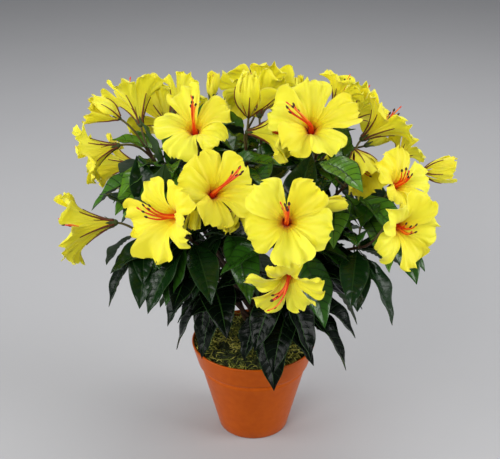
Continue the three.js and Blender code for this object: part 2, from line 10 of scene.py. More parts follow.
import bpy
import numpy as np
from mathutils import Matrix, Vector


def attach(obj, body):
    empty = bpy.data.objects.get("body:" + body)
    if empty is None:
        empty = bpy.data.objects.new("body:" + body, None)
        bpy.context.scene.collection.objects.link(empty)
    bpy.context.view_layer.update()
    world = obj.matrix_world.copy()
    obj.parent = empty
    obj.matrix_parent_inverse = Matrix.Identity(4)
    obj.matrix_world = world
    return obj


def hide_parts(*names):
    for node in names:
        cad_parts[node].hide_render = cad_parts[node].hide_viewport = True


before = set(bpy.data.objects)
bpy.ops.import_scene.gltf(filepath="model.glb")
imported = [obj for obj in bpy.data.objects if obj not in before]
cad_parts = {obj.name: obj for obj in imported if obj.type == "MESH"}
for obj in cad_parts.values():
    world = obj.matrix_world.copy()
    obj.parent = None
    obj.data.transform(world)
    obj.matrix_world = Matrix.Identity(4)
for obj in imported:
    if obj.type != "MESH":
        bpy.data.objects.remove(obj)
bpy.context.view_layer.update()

MM = 0.001
TAU = 2 * math.pi
UP = np.array([0.0, 0.0, 1.0])

# Two rows of random numbers, so that the blooms and the moss stay as they are when the leaves change
rng = np.random.default_rng(20)
bloom_rng = np.random.default_rng(3)

# The source's own values
POT_RIM, POT_FOOT, POT_TOP, COLLAR, STEP, WALL = 65, 36, 102, 24.5, 1.8, 2.4
MOSS_EDGE, MOSS_CROWN, FILLING_TOP = 96, 108, 82
GAP = 0.3
TRUNK_FOOT, TRUNK_TOP, TRUNK_LEAN = FILLING_TOP + GAP, 168, (2, -4)
TRUNK_RADIUS, TRUNK_TOP_RADIUS, FLARE, FLARE_HEIGHT = 7, 5, 2.5, 12
LOWEST_BOUGH, HIGHEST_BOUGH, STEEPEST_BOUGH = 120, 158, 50
STEM_LENGTH, STEM_FOOT, STEM_TIP = 26, 1.7, 1.4
SKIRT_OVERLAP, SKIRT_FOOT = 2, 1.2
LEAF_LENGTH, LEAF_WIDTH, LEAF_DROOP, LEAF_OPEN, LEAF_FOLD = 84, 31, 0.95, 66, 17
SKIRT_LENGTH, SKIRT_DROOP, SKIRT_OPEN = 1.08, 1.5, 60
TWIG_CLEAR, TWIG_SPACING, TWIG_TURN, TWIG_SUNK, TWIG_PULL = 0.7, 1.7, 0.15, 3, 0.42
PETAL_LENGTH, PETAL_ROOT, THROAT_DEPTH = 56, 2.2, 15
BUD_LENGTH, BUD_RADIUS = 31, 5.2
# How far the petals of each kind lean from the bloom's axis at their root and at their rim, in degrees
KINDS = {"open": (12, 92), "trumpet": (10, 66), "half": (34, 8), "closed": (36, -30), "finger": (22, -4)}
# A leaf's number picks one of these turns and, beyond the last turn, one of these lifts, in degrees
TURNS = [0, 12, -12, 24, -24, 36, -36, 48]
LIFTS = [0, -14, 14]

# A spray: its name, heading, reach, height and lean, then its blooms, and a number for each leaf of its
# whorl, with None where the whorl has no room for a leaf.
# A bloom: kind, heading, reach and height of its throat, heading and tilt of its face, size, roll,
# and how far its stamens reach to the right and up, seen from the front
SPRAYS = [
    ("left_high", 172, 96, 292, 55, [
        ("trumpet", 161, 122, 338, 112, 54, 0.92, 10, 0, 14),
        ("trumpet", 183, 144, 316, 190, -12, 0.88, 20, -8, 6),
        ("closed", 174, 140, 345, 172, 30, 0.68, 0, -4, 8),
    ], [1, 0, 0, 0, 1, 0]),
    ("left_low", 205, 116, 247, 25, [
        ("trumpet", 201, 158, 258, 188, -4, 1.08, 30, -10, 6),
    ], [0, 0, 0, 0, 2, 0]),
    ("front_left", 229, 96, 252, 40, [
        ("open", 237, 134, 291, 222, 12, 0.98, 22, -16, 10),
        ("bud", 244, 122, 290, 250, -55, 0.8, 0, 0, 0),
    ], [8, 0, 0, 0, 0, 20]),
    ("top_left", 190, 52, 303, 72, [
        ("open", 200, 60, 341, 262, 52, 0.96, 5, 0, 24),
        ("trumpet", 146, 92, 342, 62, 32, 0.8, 0, 0, 12),
        ("bud", 144, 50, 366, 60, 80, 0.85, 0, 0, 0),
    ], [None, 1, 2, 2, 0]),
    ("front_mid", 246, 64, 262, 55, [
        ("open", 248, 95, 304, 289, 38, 1, 0, 22, 18),
        ("closed", 259, 100, 284, 262, -15, 0.62, 30, 4, 4),
    ], [23, 3, 1, 0, 0]),
    ("front_right", 298, 88, 254, 40, [
        ("open", 283, 128, 291, 271, 26, 1, 20, -4, 18),
        ("bud", 306, 115, 294, 5, 8, 0.95, 10, 0, 0),
    ], [22, 0, 0, 0, 2, 6]),
    ("front_low", 290, 84, 210, 15, [
        ("open", 284, 128, 235, 262, -27, 0.9, 54, -18, -14),
    ], [0, 0, 0, 6, 0]),
    ("top_mid", 150, 8, 300, 84, [
        ("closed", 110, 12, 356, 290, 80, 0.92, 0, 0, 10),
        ("trumpet", 8, 7, 330, 345, 4, 0.9, 20, 10, 6),
    ], [0, 8, 20, 13, 5]),
    ("top_right", 350, 60, 306, 70, [
        ("open", 333, 61, 345, 272, 42, 1.06, 52, -23, 15),
        ("trumpet", 14, 84, 358, 35, 50, 0.68, 0, 4, 12),
        ("bud", 38, 56, 366, 90, 80, 0.6, 0, 0, 0),
    ], [8, 3, 0, 4, None]),
    ("right_high", 346, 92, 285, 50, [
        ("trumpet", 6, 118, 328, 12, 34, 0.95, 10, 8, 10),
        ("half", 344, 104, 312, 292, -34, 0.8, 0, 6, 2),
    ], [5, None, 0, 16, None, 3]),
    ("right_mid", 352, 124, 262, 32, [
        ("open", 338, 145, 298, 308, 36, 0.86, 34, 0, 12),
        ("half", 353, 172, 298, 0, 5, 0.64, 0, 6, 4),
        ("trumpet", 18, 158, 288, 46, 30, 0.64, 0, 4, 8),
    ], [1, 0, 0, None, None, 5]),
    ("right_low", 326, 122, 240, 24, [
        ("open", 327, 160, 268, 298, 5, 0.92, 24, 2, 4),
    ], [4, 0, 0, 6, None, None]),
    ("back_right", 48, 108, 272, 42, [
        ("open", 42, 140, 318, 50, 30, 1, 10, 4, 14),
        ("trumpet", 62, 138, 280, 70, 0, 0.95, 40, 4, 6),
        ("bud", 26, 140, 300, 20, 20, 0.8, 0, 0, 0),
    ], [0, 0, 0, 0, 0, 4, 0]),
    ("back_mid", 95, 104, 282, 45, [
        ("open", 88, 122, 326, 85, 36, 1.05, 0, -6, 16),
        ("open", 104, 156, 280, 105, 4, 0.95, 30, -10, 8),
    ], [0, 0, 0, 0, 0, 1, 0]),
    ("back_left", 138, 112, 262, 38, [
        ("open", 132, 142, 306, 130, 25, 1, 15, -6, 14),
        ("trumpet", 150, 156, 268, 160, -5, 0.95, 0, -8, 4),
        ("bud", 122, 148, 272, 115, 10, 0.8, 0, 0, 0),
    ], [0, 0, 0, 0, 4, 13, 1]),
    ("back_top", 80, 42, 300, 72, [
        ("open", 84, 66, 338, 85, 40, 0.95, 20, 2, 16),
    ], [None, 21, 17, None, 21]),
]

# A skirt: name, heading, reach, height and lean as a spray, then the height, sidestep and tilt at
# which its stem leaves the main stem, where its round of leaves starts and how far it goes round, and
# the numbers of its leaves
SKIRTS = [
    ("skirt_front", 281, 46, 166, 20, 113, -28, 30, 62, 290, [0, 0, 4, 3, 0]),
    ("skirt_left", 217, 60, 184, 20, 113, -56, 36, 190, 300, [0, 1, 0, 0, 0, 0]),
    ("skirt_right", 307, 66, 178, 20, 114, -14, 30, -5, 300, [0, 13, 3, 0, 2]),
    ("skirt_back_right", 38, 60, 172, 20, 113, 0, 30, 0, 360, [0, 0, 0, 0, 1, 0]),
    ("skirt_back", 95, 62, 180, 20, 114, 0, 30, 0, 360, [1, 0, 0, 0, 2]),
    ("skirt_back_left", 150, 60, 172, 20, 113, -14, 30, 0, 360, [0, 0, 0, 0, 4, 2]),
]

# The one bough that leaves the main stem to one side
BOUGH_SIDESTEP = {"right_high": 14}


# Geometry helpers

def unit(v):
    return v / np.linalg.norm(v, axis=-1, keepdims=True)


def towards(heading, tilt):
    """A unit vector from a heading and a tilt in degrees."""
    h, t = math.radians(heading), math.radians(tilt)
    return np.array([math.cos(t) * math.cos(h), math.cos(t) * math.sin(h), math.sin(t)])


def place(heading, reach, height):
    """A point from its heading, its distance from the plant's middle line and its height."""
    return towards(heading, 0) * reach + UP * height


def chance(a, b):
    """The source's repeatable chance between 0 and 1 from two whole numbers."""
    v = math.sin(a * 12.9898 + b * 78.233) * 43758.5453
    return v - math.floor(v)


def lerp(a, b, share):
    return a + (b - a) * share


def square_to(axis):
    """Two unit vectors square to an axis and to each other."""
    side = np.array([1.0, 0, 0]) if abs(axis[2]) > 0.99 else unit(np.cross(axis, UP))
    return side, unit(np.cross(axis, side))


def spoke(side, over, turn):
    """The direction at a turn in radians, from side towards over."""
    return side * math.cos(turn) + over * math.sin(turn)


def full_turn(steps):
    """Angles at even steps round a circle."""
    return np.arange(steps) * TAU / steps


def bow(start, leaving, end, arriving, pull=0.38, count=20):
    """Points on a curve that leaves one point along one direction and reaches another along a second."""
    reach = np.linalg.norm(end - start) * pull
    a, b = start + leaving * reach, end - arriving * reach
    t = np.linspace(0, 1, count)[:, None]
    return (1 - t) ** 3 * start + 3 * (1 - t) ** 2 * t * a + 3 * (1 - t) * t * t * b + t ** 3 * end


def smooth_through(keys, x):
    """Smooth values at x on a curve through (x, y) pairs."""
    xs, ys = np.array(keys, float).T
    slopes = np.gradient(ys, xs)
    x = np.clip(x, xs[0], xs[-1])
    k = np.clip(np.searchsorted(xs, x) - 1, 0, len(xs) - 2)
    gap = xs[k + 1] - xs[k]
    t = (x - xs[k]) / gap
    return ((1 + 2 * t) * (1 - t) ** 2 * ys[k] + t * (1 - t) ** 2 * gap * slopes[k]
            + t * t * (3 - 2 * t) * ys[k + 1] + t * t * (t - 1) * gap * slopes[k + 1])


def ramp(x, low, high):
    """0 below low, 1 above high, and smooth between."""
    t = np.clip((x - low) / (high - low), 0, 1)
    return t * t * (3 - 2 * t)


class Heap:
    """Points and faces of one joined piece. Each face names the material slot that it takes."""

    def __init__(self):
        self.points, self.rims, self.count = [], [], 0
        self.faces, self.slots = {3: [], 4: []}, {3: [], 4: []}

    def add(self, points, faces, slots, rim=None):
        """faces is a list of index arrays, and slots has one slot or one array of slots for each. rim is
        true at the points of a sheet's edge, where the shading breaks."""
        for face, slot in zip(faces, slots):
            self.faces[face.shape[1]].append(face + self.count)
            self.slots[face.shape[1]].append(np.broadcast_to(slot, len(face)))
        self.points.append(points)
        self.rims.append(np.zeros(len(points), bool) if rim is None else rim)
        self.count += len(points)

    def make(self, name, materials, slot, replaced=()):
        """Turns the heap into an object that takes the place of the solids in replaced."""
        points = np.concatenate(self.points) * MM
        rim = np.concatenate(self.rims)
        faces = [np.concatenate(self.faces[k]) for k in (3, 4) if self.faces[k]]
        slots = np.concatenate([np.concatenate(self.slots[k]) for k in (3, 4) if self.slots[k]])
        totals = np.concatenate([np.full(len(f), f.shape[1]) for f in faces])
        mesh = bpy.data.meshes.new(name)
        mesh.vertices.add(len(points))
        mesh.vertices.foreach_set("co", points.astype(np.float32).ravel())
        mesh.loops.add(int(totals.sum()))
        mesh.loops.foreach_set("vertex_index", np.concatenate([f.ravel() for f in faces]).astype(np.int32))
        mesh.polygons.add(len(totals))
        starts = np.concatenate([[0], np.cumsum(totals)[:-1]])
        mesh.polygons.foreach_set("loop_start", starts.astype(np.int32))
        for material in materials:
            mesh.materials.append(material)
        mesh.update(calc_edges=True)
        mesh.polygons.foreach_set("material_index", slots.astype(np.int32))
        mesh.polygons.foreach_set("use_smooth", np.ones(len(totals), bool))
        ends = np.zeros(len(mesh.edges) * 2, np.int32)
        mesh.edges.foreach_get("vertices", ends)
        sharp = rim[ends.reshape(-1, 2)].all(axis=1)
        mesh.edges.foreach_set("use_edge_sharp", sharp)
        mesh.update()
        made = bpy.data.objects.new(name, mesh)
        bpy.context.scene.collection.objects.link(made)
        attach(made, "root")
        if replaced:
            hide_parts(*replaced)


def skin(heap, rings, start, end, slots):
    """A closed skin over a row of rings, with a fan to a point at each end. slots has one slot for all the
    bands between the rings, or one for each."""
    count, sides = rings.shape[:2]
    index = np.arange(count * sides).reshape(count, sides)
    after = np.roll(index, -1, axis=1)
    quads = np.stack([index[:-1], after[:-1], after[1:], index[1:]], -1).reshape(-1, 4)
    fan_start = np.stack([np.full(sides, count * sides), after[0], index[0]], -1)
    fan_end = np.stack([np.full(sides, count * sides + 1), index[-1], after[-1]], -1)
    points = np.concatenate([rings.reshape(-1, 3), [start, end]])
    slots = np.broadcast_to(slots, count - 1)
    heap.add(points, [quads, fan_start, fan_end], [np.repeat(slots, sides), slots[0], slots[-1]])


def tube(heap, line, radii, sides, slots, squash=1.0):
    """A closed tube along a line. radii has one radius, or one for each side, at each point."""
    line = np.asarray(line, float)
    radii = np.asarray(radii, float).reshape(len(line), -1) * np.ones((len(line), sides))
    tangents = unit(np.gradient(line, axis=0))
    turn = full_turn(sides)[:, None]
    u = square_to(tangents[0])[0]
    rings = []
    for point, tangent, radius in zip(line, tangents, radii):
        u = unit(u - tangent * (u @ tangent))
        v = np.cross(tangent, u) * squash
        rings.append(point + radius[:, None] * (np.cos(turn) * u + np.sin(turn) * v))
    skin(heap, np.array(rings), line[0], line[-1], slots)


def shell(heap, grid, thickness, front, back):
    """A thin closed sheet round a grid of points. front and back are slots, one or one for each cell."""
    rows, cols = grid.shape[:2]
    normal = unit(np.cross(np.gradient(grid, axis=1), np.gradient(grid, axis=0)) + 1e-9)
    inside = np.zeros((rows, cols), bool)
    inside[1:-1, 1:-1] = True
    half = normal * (inside * thickness / 2)[..., None]
    top = np.arange(rows * cols).reshape(rows, cols)
    under = top.copy()
    under[inside] = rows * cols + np.arange(inside.sum())

    def quads(index, order):
        corners = [index[:-1, :-1], index[:-1, 1:], index[1:, 1:], index[1:, :-1]]
        return np.stack([corners[k] for k in order], -1).reshape(-1, 4)

    cells = (rows - 1, cols - 1)
    points = np.concatenate([(grid + half).reshape(-1, 3), (grid - half)[inside]])
    rim = np.concatenate([~inside.ravel(), np.zeros(inside.sum(), bool)])
    heap.add(points, [quads(top, (0, 1, 2, 3)), quads(under, (3, 2, 1, 0))],
             [np.broadcast_to(front, cells).ravel(), np.broadcast_to(back, cells).ravel()], rim)


# Materials

def linear(colour):
    """A colour from red, green and blue between 0 and 255 as the eye sees them."""
    c = np.array(colour) / 255
    return (*np.where(c <= 0.04045, c / 12.92, ((c + 0.055) / 1.055) ** 2.4), 1.0)


def finish(name, colour, rough, grain, bump, depth=0.0004, uneven=0.08, spotted=None, **sockets):
    """A material whose roughness and bump come from noise of the given grain, in cycles a metre. The
    roughness varies by uneven to each side, and spotted is a second colour that the noise mixes in."""
    made = bpy.data.materials.new(name)
    made.use_nodes = True
    tree = made.node_tree
    shader = tree.nodes["Principled BSDF"]
    shader.inputs["Base Color"].default_value = linear(colour)
    for socket, value in sockets.items():
        shader.inputs[socket].default_value = value
    coordinates = tree.nodes.new("ShaderNodeTexCoord")

    def noise(scale, detail):
        node = tree.nodes.new("ShaderNodeTexNoise")
        node.inputs["Scale"].default_value = scale
        node.inputs["Detail"].default_value = detail
        tree.links.new(coordinates.outputs["Object"], node.inputs["Vector"])
        return node.outputs["Fac"]

    # Nearly all of the noise lies between 0.3 and 0.7
    gloss = tree.nodes.new("ShaderNodeMapRange")
    gloss.inputs["From Min"].default_value = 0.3
    gloss.inputs["From Max"].default_value = 0.7
    gloss.inputs["To Min"].default_value = rough - uneven
    gloss.inputs["To Max"].default_value = rough + uneven
    tree.links.new(noise(grain / 4, 3), gloss.inputs["Value"])
    tree.links.new(gloss.outputs["Result"], shader.inputs["Roughness"])
    relief = tree.nodes.new("ShaderNodeBump")
    relief.inputs["Strength"].default_value = bump
    relief.inputs["Distance"].default_value = depth
    tree.links.new(noise(grain, 4), relief.inputs["Height"])
    tree.links.new(relief.outputs["Normal"], shader.inputs["Normal"])
    if spotted:
        tones = tree.nodes.new("ShaderNodeValToRGB")
        tones.color_ramp.elements[0].position = 0.35
        tones.color_ramp.elements[0].color = linear(colour)
        tones.color_ramp.elements[1].position = 0.65
        tones.color_ramp.elements[1].color = linear(spotted)
        tree.links.new(noise(grain / 6, 5), tones.inputs["Fac"])
        tree.links.new(tones.outputs["Color"], shader.inputs["Base Color"])
    return made


# The blade tones run from near-black green to fresh green. The dark ones are partly the low leaves' own
# tone and partly painted shade under the crown; the bright ones are partly painted light on the high and
# outer leaves.
BLADE_TONES_AND_SHADES = [(4, 12, 5), (6, 20, 7), (15, 41, 12), (39, 80, 18), (60, 106, 25), (84, 130, 34)]
# How strongly each tone reflects: the dark tones, painted shade of the low leaves under the crown, reflect
# the least
BLADE_GLOSS = [0.1, 0.12, 0.22, 0.32, 0.34, 0.34]
leaf_finishes = [
    finish(f"leaf_blade_lit_and_shaded_{i}", tone, 0.22, 420, 0.4, 0.0006, **{"Specular IOR Level": gloss})
    for i, (tone, gloss) in enumerate(zip(BLADE_TONES_AND_SHADES, BLADE_GLOSS))
]
leaf_finishes += [
    finish("leaf_vein", (13, 30, 10), 0.34, 900, 0.2, **{"Specular IOR Level": 0.12}),
    finish("leaf_midrib", (32, 58, 18), 0.4, 700, 0.2, **{"Specular IOR Level": 0.14}),
    finish("leaf_edge", (34, 58, 24), 0.5, 900, 0.2, **{"Specular IOR Level": 0.14}),
    finish("leaf_underside", (44, 70, 34), 0.6, 900, 0.3),
]
VEIN, MIDRIB, EDGE, UNDERSIDE = range(len(BLADE_TONES_AND_SHADES), len(BLADE_TONES_AND_SHADES) + 4)

PETAL_TONES = [
    (214, 60, 10), (232, 128, 12), (238, 190, 12), (240, 214, 16),
    (242, 226, 32), (242, 230, 38), (244, 235, 50),
]
# Thin cloth, which the light partly goes through
PETAL_CLOTH = {"Sheen Weight": 0.15, "Sheen Roughness": 0.4, "Subsurface Weight": 0.4,
               "Subsurface Radius": (1.0, 0.8, 0.25), "Subsurface Scale": 0.003}
petal_finishes = [
    finish(f"petal_{i}", tone, 0.62, 1400, 0.35, 0.0003, **PETAL_CLOTH)
    for i, tone in enumerate(PETAL_TONES)
]
petal_finishes.append(finish("bud_tip", (214, 190, 40), 0.6, 1400, 0.35))
# The tones run from the throat outwards. The outer part of each petal takes one of the last three.
OUTER_TONES = [4, 5, 6]
BASE_TONE, BUD_TIP = 3, len(PETAL_TONES)

trim_finishes = [
    finish("twig_green", (92, 82, 36), 0.6, 700, 0.5),
    finish("twig_brown", (72, 46, 24), 0.62, 700, 0.5),
    finish("sepal", (70, 82, 34), 0.55, 900, 0.4),
    finish("petal_wire", (112, 52, 22), 0.6, 900, 0.3),
    finish("filament", (222, 54, 12), 0.45, 900, 0.2),
    finish("filament_pale", (240, 120, 30), 0.5, 900, 0.2),
    finish("anther", (62, 20, 12), 0.7, 1600, 0.6),
]
GREEN, BROWN, SEPAL, WIRE, FILAMENT, PALE, ANTHER = range(7)


# The limbs: main stem and boughs

TRUNK_SIDES, BOUGH_SIDES, STEM_SIDES = 28, 10, 8


def trunk_share(height):
    """How far up the main stem a height lies, from 0 to 1."""
    return (height - TRUNK_FOOT) / (TRUNK_TOP - TRUNK_FOOT)


def trunk_point(height):
    """The middle of the main stem at a height."""
    share = trunk_share(height)
    return np.array([TRUNK_LEAN[0] * share, TRUNK_LEAN[1] * share, height])


def climb(reach, height):
    """How steeply a spray lies from the middle of the fork, in degrees."""
    return math.degrees(math.atan2(height - (LOWEST_BOUGH + HIGHEST_BOUGH) / 2, reach))


limbs = Heap()
heights = np.linspace(TRUNK_FOOT, TRUNK_TOP, 60)
turn = full_turn(TRUNK_SIDES)
flare = np.exp(-(heights - TRUNK_FOOT) / FLARE_HEIGHT) * FLARE
girth = lerp(TRUNK_RADIUS, TRUNK_TOP_RADIUS, trunk_share(heights)) + flare
# Bark: long ridges that wander round a slightly slimmer stem, crossed by a few rings
ridges = 0.45 * np.cos(7 * turn[None] + 2.2 * np.sin(heights[:, None] / 17)) ** 2
rings = 0.3 * np.exp(-(((heights[:, None] / 13) % 1 - 0.5) / 0.09) ** 2)
rough = 0.16 * rng.standard_normal((len(heights), TRUNK_SIDES))
radii = girth[:, None] - 0.55 + ridges + rings + rough
tube(limbs, [trunk_point(h) for h in heights], radii, TRUNK_SIDES, 0)

steepness = sorted(climb(s[2], s[3]) for s in SPRAYS)
for name, heading, reach, height, lean, _, _ in SPRAYS:
    rise = climb(reach, height)
    rank = steepness.index(rise)
    arriving = towards(heading, lean)
    start = trunk_point(lerp(LOWEST_BOUGH, HIGHEST_BOUGH, rank / (len(SPRAYS) - 1)))
    leaving = towards(heading + BOUGH_SIDESTEP.get(name, 0), min(rise, STEEPEST_BOUGH))
    end = place(heading, reach, height) - arriving * (STEM_LENGTH + GAP)
    line = bow(start, leaving, end, arriving, count=44)
    along = np.linspace(0, 1, len(line))
    nodes = 0.3 * np.exp(-(((along * 6) % 1 - 0.5) / 0.1) ** 2)
    rough = 0.09 * rng.standard_normal((len(line), BOUGH_SIDES))
    tube(limbs, line, (lerp(2.25, 1.75, along) + nodes - 0.1)[:, None] + rough, BOUGH_SIDES, 0)

# The stems in the whorls of leaves, and the wires that carry those of the skirts
trim = Heap()
for _, heading, reach, height, lean, *_ in SPRAYS + SKIRTS:
    tip = place(heading, reach, height)
    line = np.linspace(tip - towards(heading, lean) * STEM_LENGTH, tip, 10)
    tube(trim, line, np.linspace(STEM_FOOT, STEM_TIP, len(line)), STEM_SIDES, BROWN)
for _, heading, reach, height, lean, start, sidestep, tilt, *_ in SKIRTS:
    axis = towards(heading, lean)
    end = place(heading, reach, height) - axis * (STEM_LENGTH - SKIRT_OVERLAP)
    line = bow(trunk_point(start), towards(heading + sidestep, tilt), end, axis)
    tube(limbs, line, np.linspace(STEM_FOOT * SKIRT_FOOT, STEM_FOOT, len(line)), STEM_SIDES, 0)


# The leaves

LEAF_OUTLINE = [
    (0, 0.06), (0.1, 0.06), (0.18, 0.24), (0.3, 0.68), (0.42, 0.95), (0.52, 1), (0.64, 0.9),
    (0.76, 0.67), (0.88, 0.36), (0.96, 0.12), (1, 0.012),
]
LEAF_STEPS = 24
# Where a leaf's columns lie as shares of its half width, and which of the cells between them is the midrib
LEAF_COLUMNS = np.array([-1, -0.95, -0.66, -0.34, -0.055, 0.055, 0.34, 0.66, 0.95, 1])
RIB_CELL = 4
# As shares of a leaf's length: where its first side veins leave, the stretch over which all of them are
# spread, and half of one's width
FIRST_VEIN, VEINED, HALF_VEIN = 0.17, 0.7, 0.0045


def leaf_rows(pairs):
    """Shares of the length where a leaf's rows lie, and which of the cells between them are veins."""
    rows, is_vein = [0, 0.05, 0.11], [False, False]
    gap = VEINED / pairs
    for k in range(pairs):
        middle = FIRST_VEIN + gap * k
        rows += [middle - HALF_VEIN, middle + HALF_VEIN, middle + gap / 2]
        is_vein += [False, True, False]
    return np.array(rows + [0.91, 0.96, 1]), np.array(is_vein + [False] * 3)


def leaf_line(root, leaving, length, droop):
    """The middle line of a leaf that bends down under its own weight, and its directions."""
    points, tangents = [root], [leaving]
    for _ in range(LEAF_STEPS):
        bent = unit(tangents[-1] - UP * droop / LEAF_STEPS)
        points.append(points[-1] + bent * length / LEAF_STEPS)
        tangents.append(bent)
    return np.array(points), np.array(tangents)


def add_leaf(heap, root, leaving, length, width, droop, tone, pairs=8):
    """One leaf: folded along its midrib, puffed between sunken veins, with a waved edge."""
    points, tangents = leaf_line(root, leaving, length, droop)
    rows, is_vein = leaf_rows(pairs)
    c = LEAF_COLUMNS
    # The side veins run forwards, so the rows do as well
    inner = ramp(rows, 0.1, 0.3) * (1 - ramp(rows, 0.72, 1.0))
    s = np.clip(rows[:, None] + 0.1 * np.abs(c) ** 1.3 * inner[:, None], 0, 1)
    at, knots = s * LEAF_STEPS, np.arange(LEAF_STEPS + 1)
    centre = np.stack([np.interp(at, knots, points[:, k]) for k in range(3)], -1)
    tangent = unit(np.stack([np.interp(at, knots, tangents[:, k]) for k in range(3)], -1))
    flat = unit(UP - tangent * tangent[..., 2:])
    level = np.cross(tangent, flat)
    twist = rng.uniform(-0.35, 0.35) * s[..., None]
    side = level * np.cos(twist) + flat * np.sin(twist)
    normal = flat * np.cos(twist) - level * np.sin(twist)
    half = np.maximum(smooth_through(LEAF_OUTLINE, s) * width / 2, 0.12)
    blade = ramp(s, 0.12, 0.3)
    phase = rng.uniform(0, TAU, 2)[(c > 0).astype(int)]
    waves = np.sin(s * 19 + phase) * 1.3 * np.abs(c) ** 2 * blade * (1 - ramp(s, 0.85, 1))
    fold = math.tan(math.radians(LEAF_FOLD + rng.uniform(-6, 8)))
    groove = np.zeros(len(rows))
    groove[:-1][is_vein] = groove[1:][is_vein] = -0.45
    puff = np.where(groove == 0, 0.6, groove)[:, None] * (1 - np.abs(c) ** 2) * blade
    puff -= 0.5 * (np.abs(c) < 0.1) * blade
    lift = np.abs(c) * half * fold + waves + puff
    grid = centre + side * (c * half)[..., None] + normal * lift[..., None]
    cells = np.full((len(rows) - 1, len(c) - 1), tone)
    cells[is_vein] = VEIN
    cells[:, [0, -1]] = EDGE
    cells[:, RIB_CELL] = MIDRIB
    cells[:2] = MIDRIB
    back = np.where(np.arange(len(c) - 1) == RIB_CELL, MIDRIB, UNDERSIDE)
    shell(heap, grid, 0.6, cells, back)


# The radii of the balls that hold a bloom and a bud, and how far in front of the throat their centres lie
BALL, BUD_BALL, BALL_AHEAD = 40, 16, 6


def bloom_ball(bloom):
    """The centre and the radius of a ball that holds a bloom."""
    kind, heading, reach, height, face, tilt, size = bloom[:7]
    centre = place(heading, reach, height) + towards(face, tilt) * BALL_AHEAD * size
    return centre, (BUD_BALL if kind == "bud" else BALL) * size


balls = [bloom_ball(bloom) for spray in SPRAYS for bloom in spray[5]]
ball_centres = np.array([b[0] for b in balls])
ball_radii = np.array([b[1] for b in balls])

# The leaves that only the scene has: ranges of their length in millimetres, of their width as a share of
# it and of their droop, the droop with which their room is measured, and their pairs of side veins
SMALL_LEAF = {"length": (44, 60), "width": (0.38, 0.46), "droop": (0.6, 1.1), "usual": 0.8, "pairs": 6}
TWIG_LEAF = {"length": (46, 70), "width": (0.36, 0.44), "droop": (0.5, 1.0), "usual": 0.75, "pairs": 5}
# How much longer the small leaves of the highest sprays are, and the twig leaves of the skirts
EXTRA_LENGTH = 10
# The least room beside the blooms, in millimetres, with which such a leaf is still grown
LEAST_ROOM = -6
# How much longer a skirt's twigs are than a spray's, and the room beside the blooms that a leafy twig
# gives up to stand upright rather than level, both in millimetres
RISE, RISING = 22, 34
TWIG_POINTS = 9


def room(root, leaving, length, droop):
    """How far a leaf stays from the blooms."""
    points = leaf_line(root, leaving, length, droop)[0][LEAF_STEPS // 2::4]
    return (np.linalg.norm(points[:, None] - ball_centres, axis=2) - ball_radii).min()


def leaf_tone_and_shade(height, reach):
    """Higher leaves get brighter tones and lower ones darker, partly their own colour and partly painted
    shade under the crown. Leaves further out get brighter tones as painted light, where the crown does not
    shade them.
    """
    # Height darkens the low leaves as painted shade, and reach brightens the outer ones as painted light
    wish = -0.5 + 5.8 * ramp(height + 0.4 * (reach - 80), 195, 320) + rng.normal(0, 0.8)
    return int(np.clip(round(wish), 0, len(BLADE_TONES_AND_SHADES) - 1))


def off_axis(axis, turn, opening):
    """The direction that stands off an axis by an opening, at a turn round it, both in degrees."""
    side, over = square_to(axis)
    opening = math.radians(opening)
    return axis * math.cos(opening) + spoke(side, over, math.radians(turn)) * math.sin(opening)


def add_if_room(heap, kind, root, leaving, size, height, reach):
    """A leaf of one of the scene's own kinds, where the blooms leave room for it."""
    if room(root, leaving, size, kind["usual"]) < LEAST_ROOM:
        return
    add_leaf(heap, root, leaving, size, size * rng.uniform(*kind["width"]), rng.uniform(*kind["droop"]),
             leaf_tone_and_shade(height, reach), kind["pairs"])


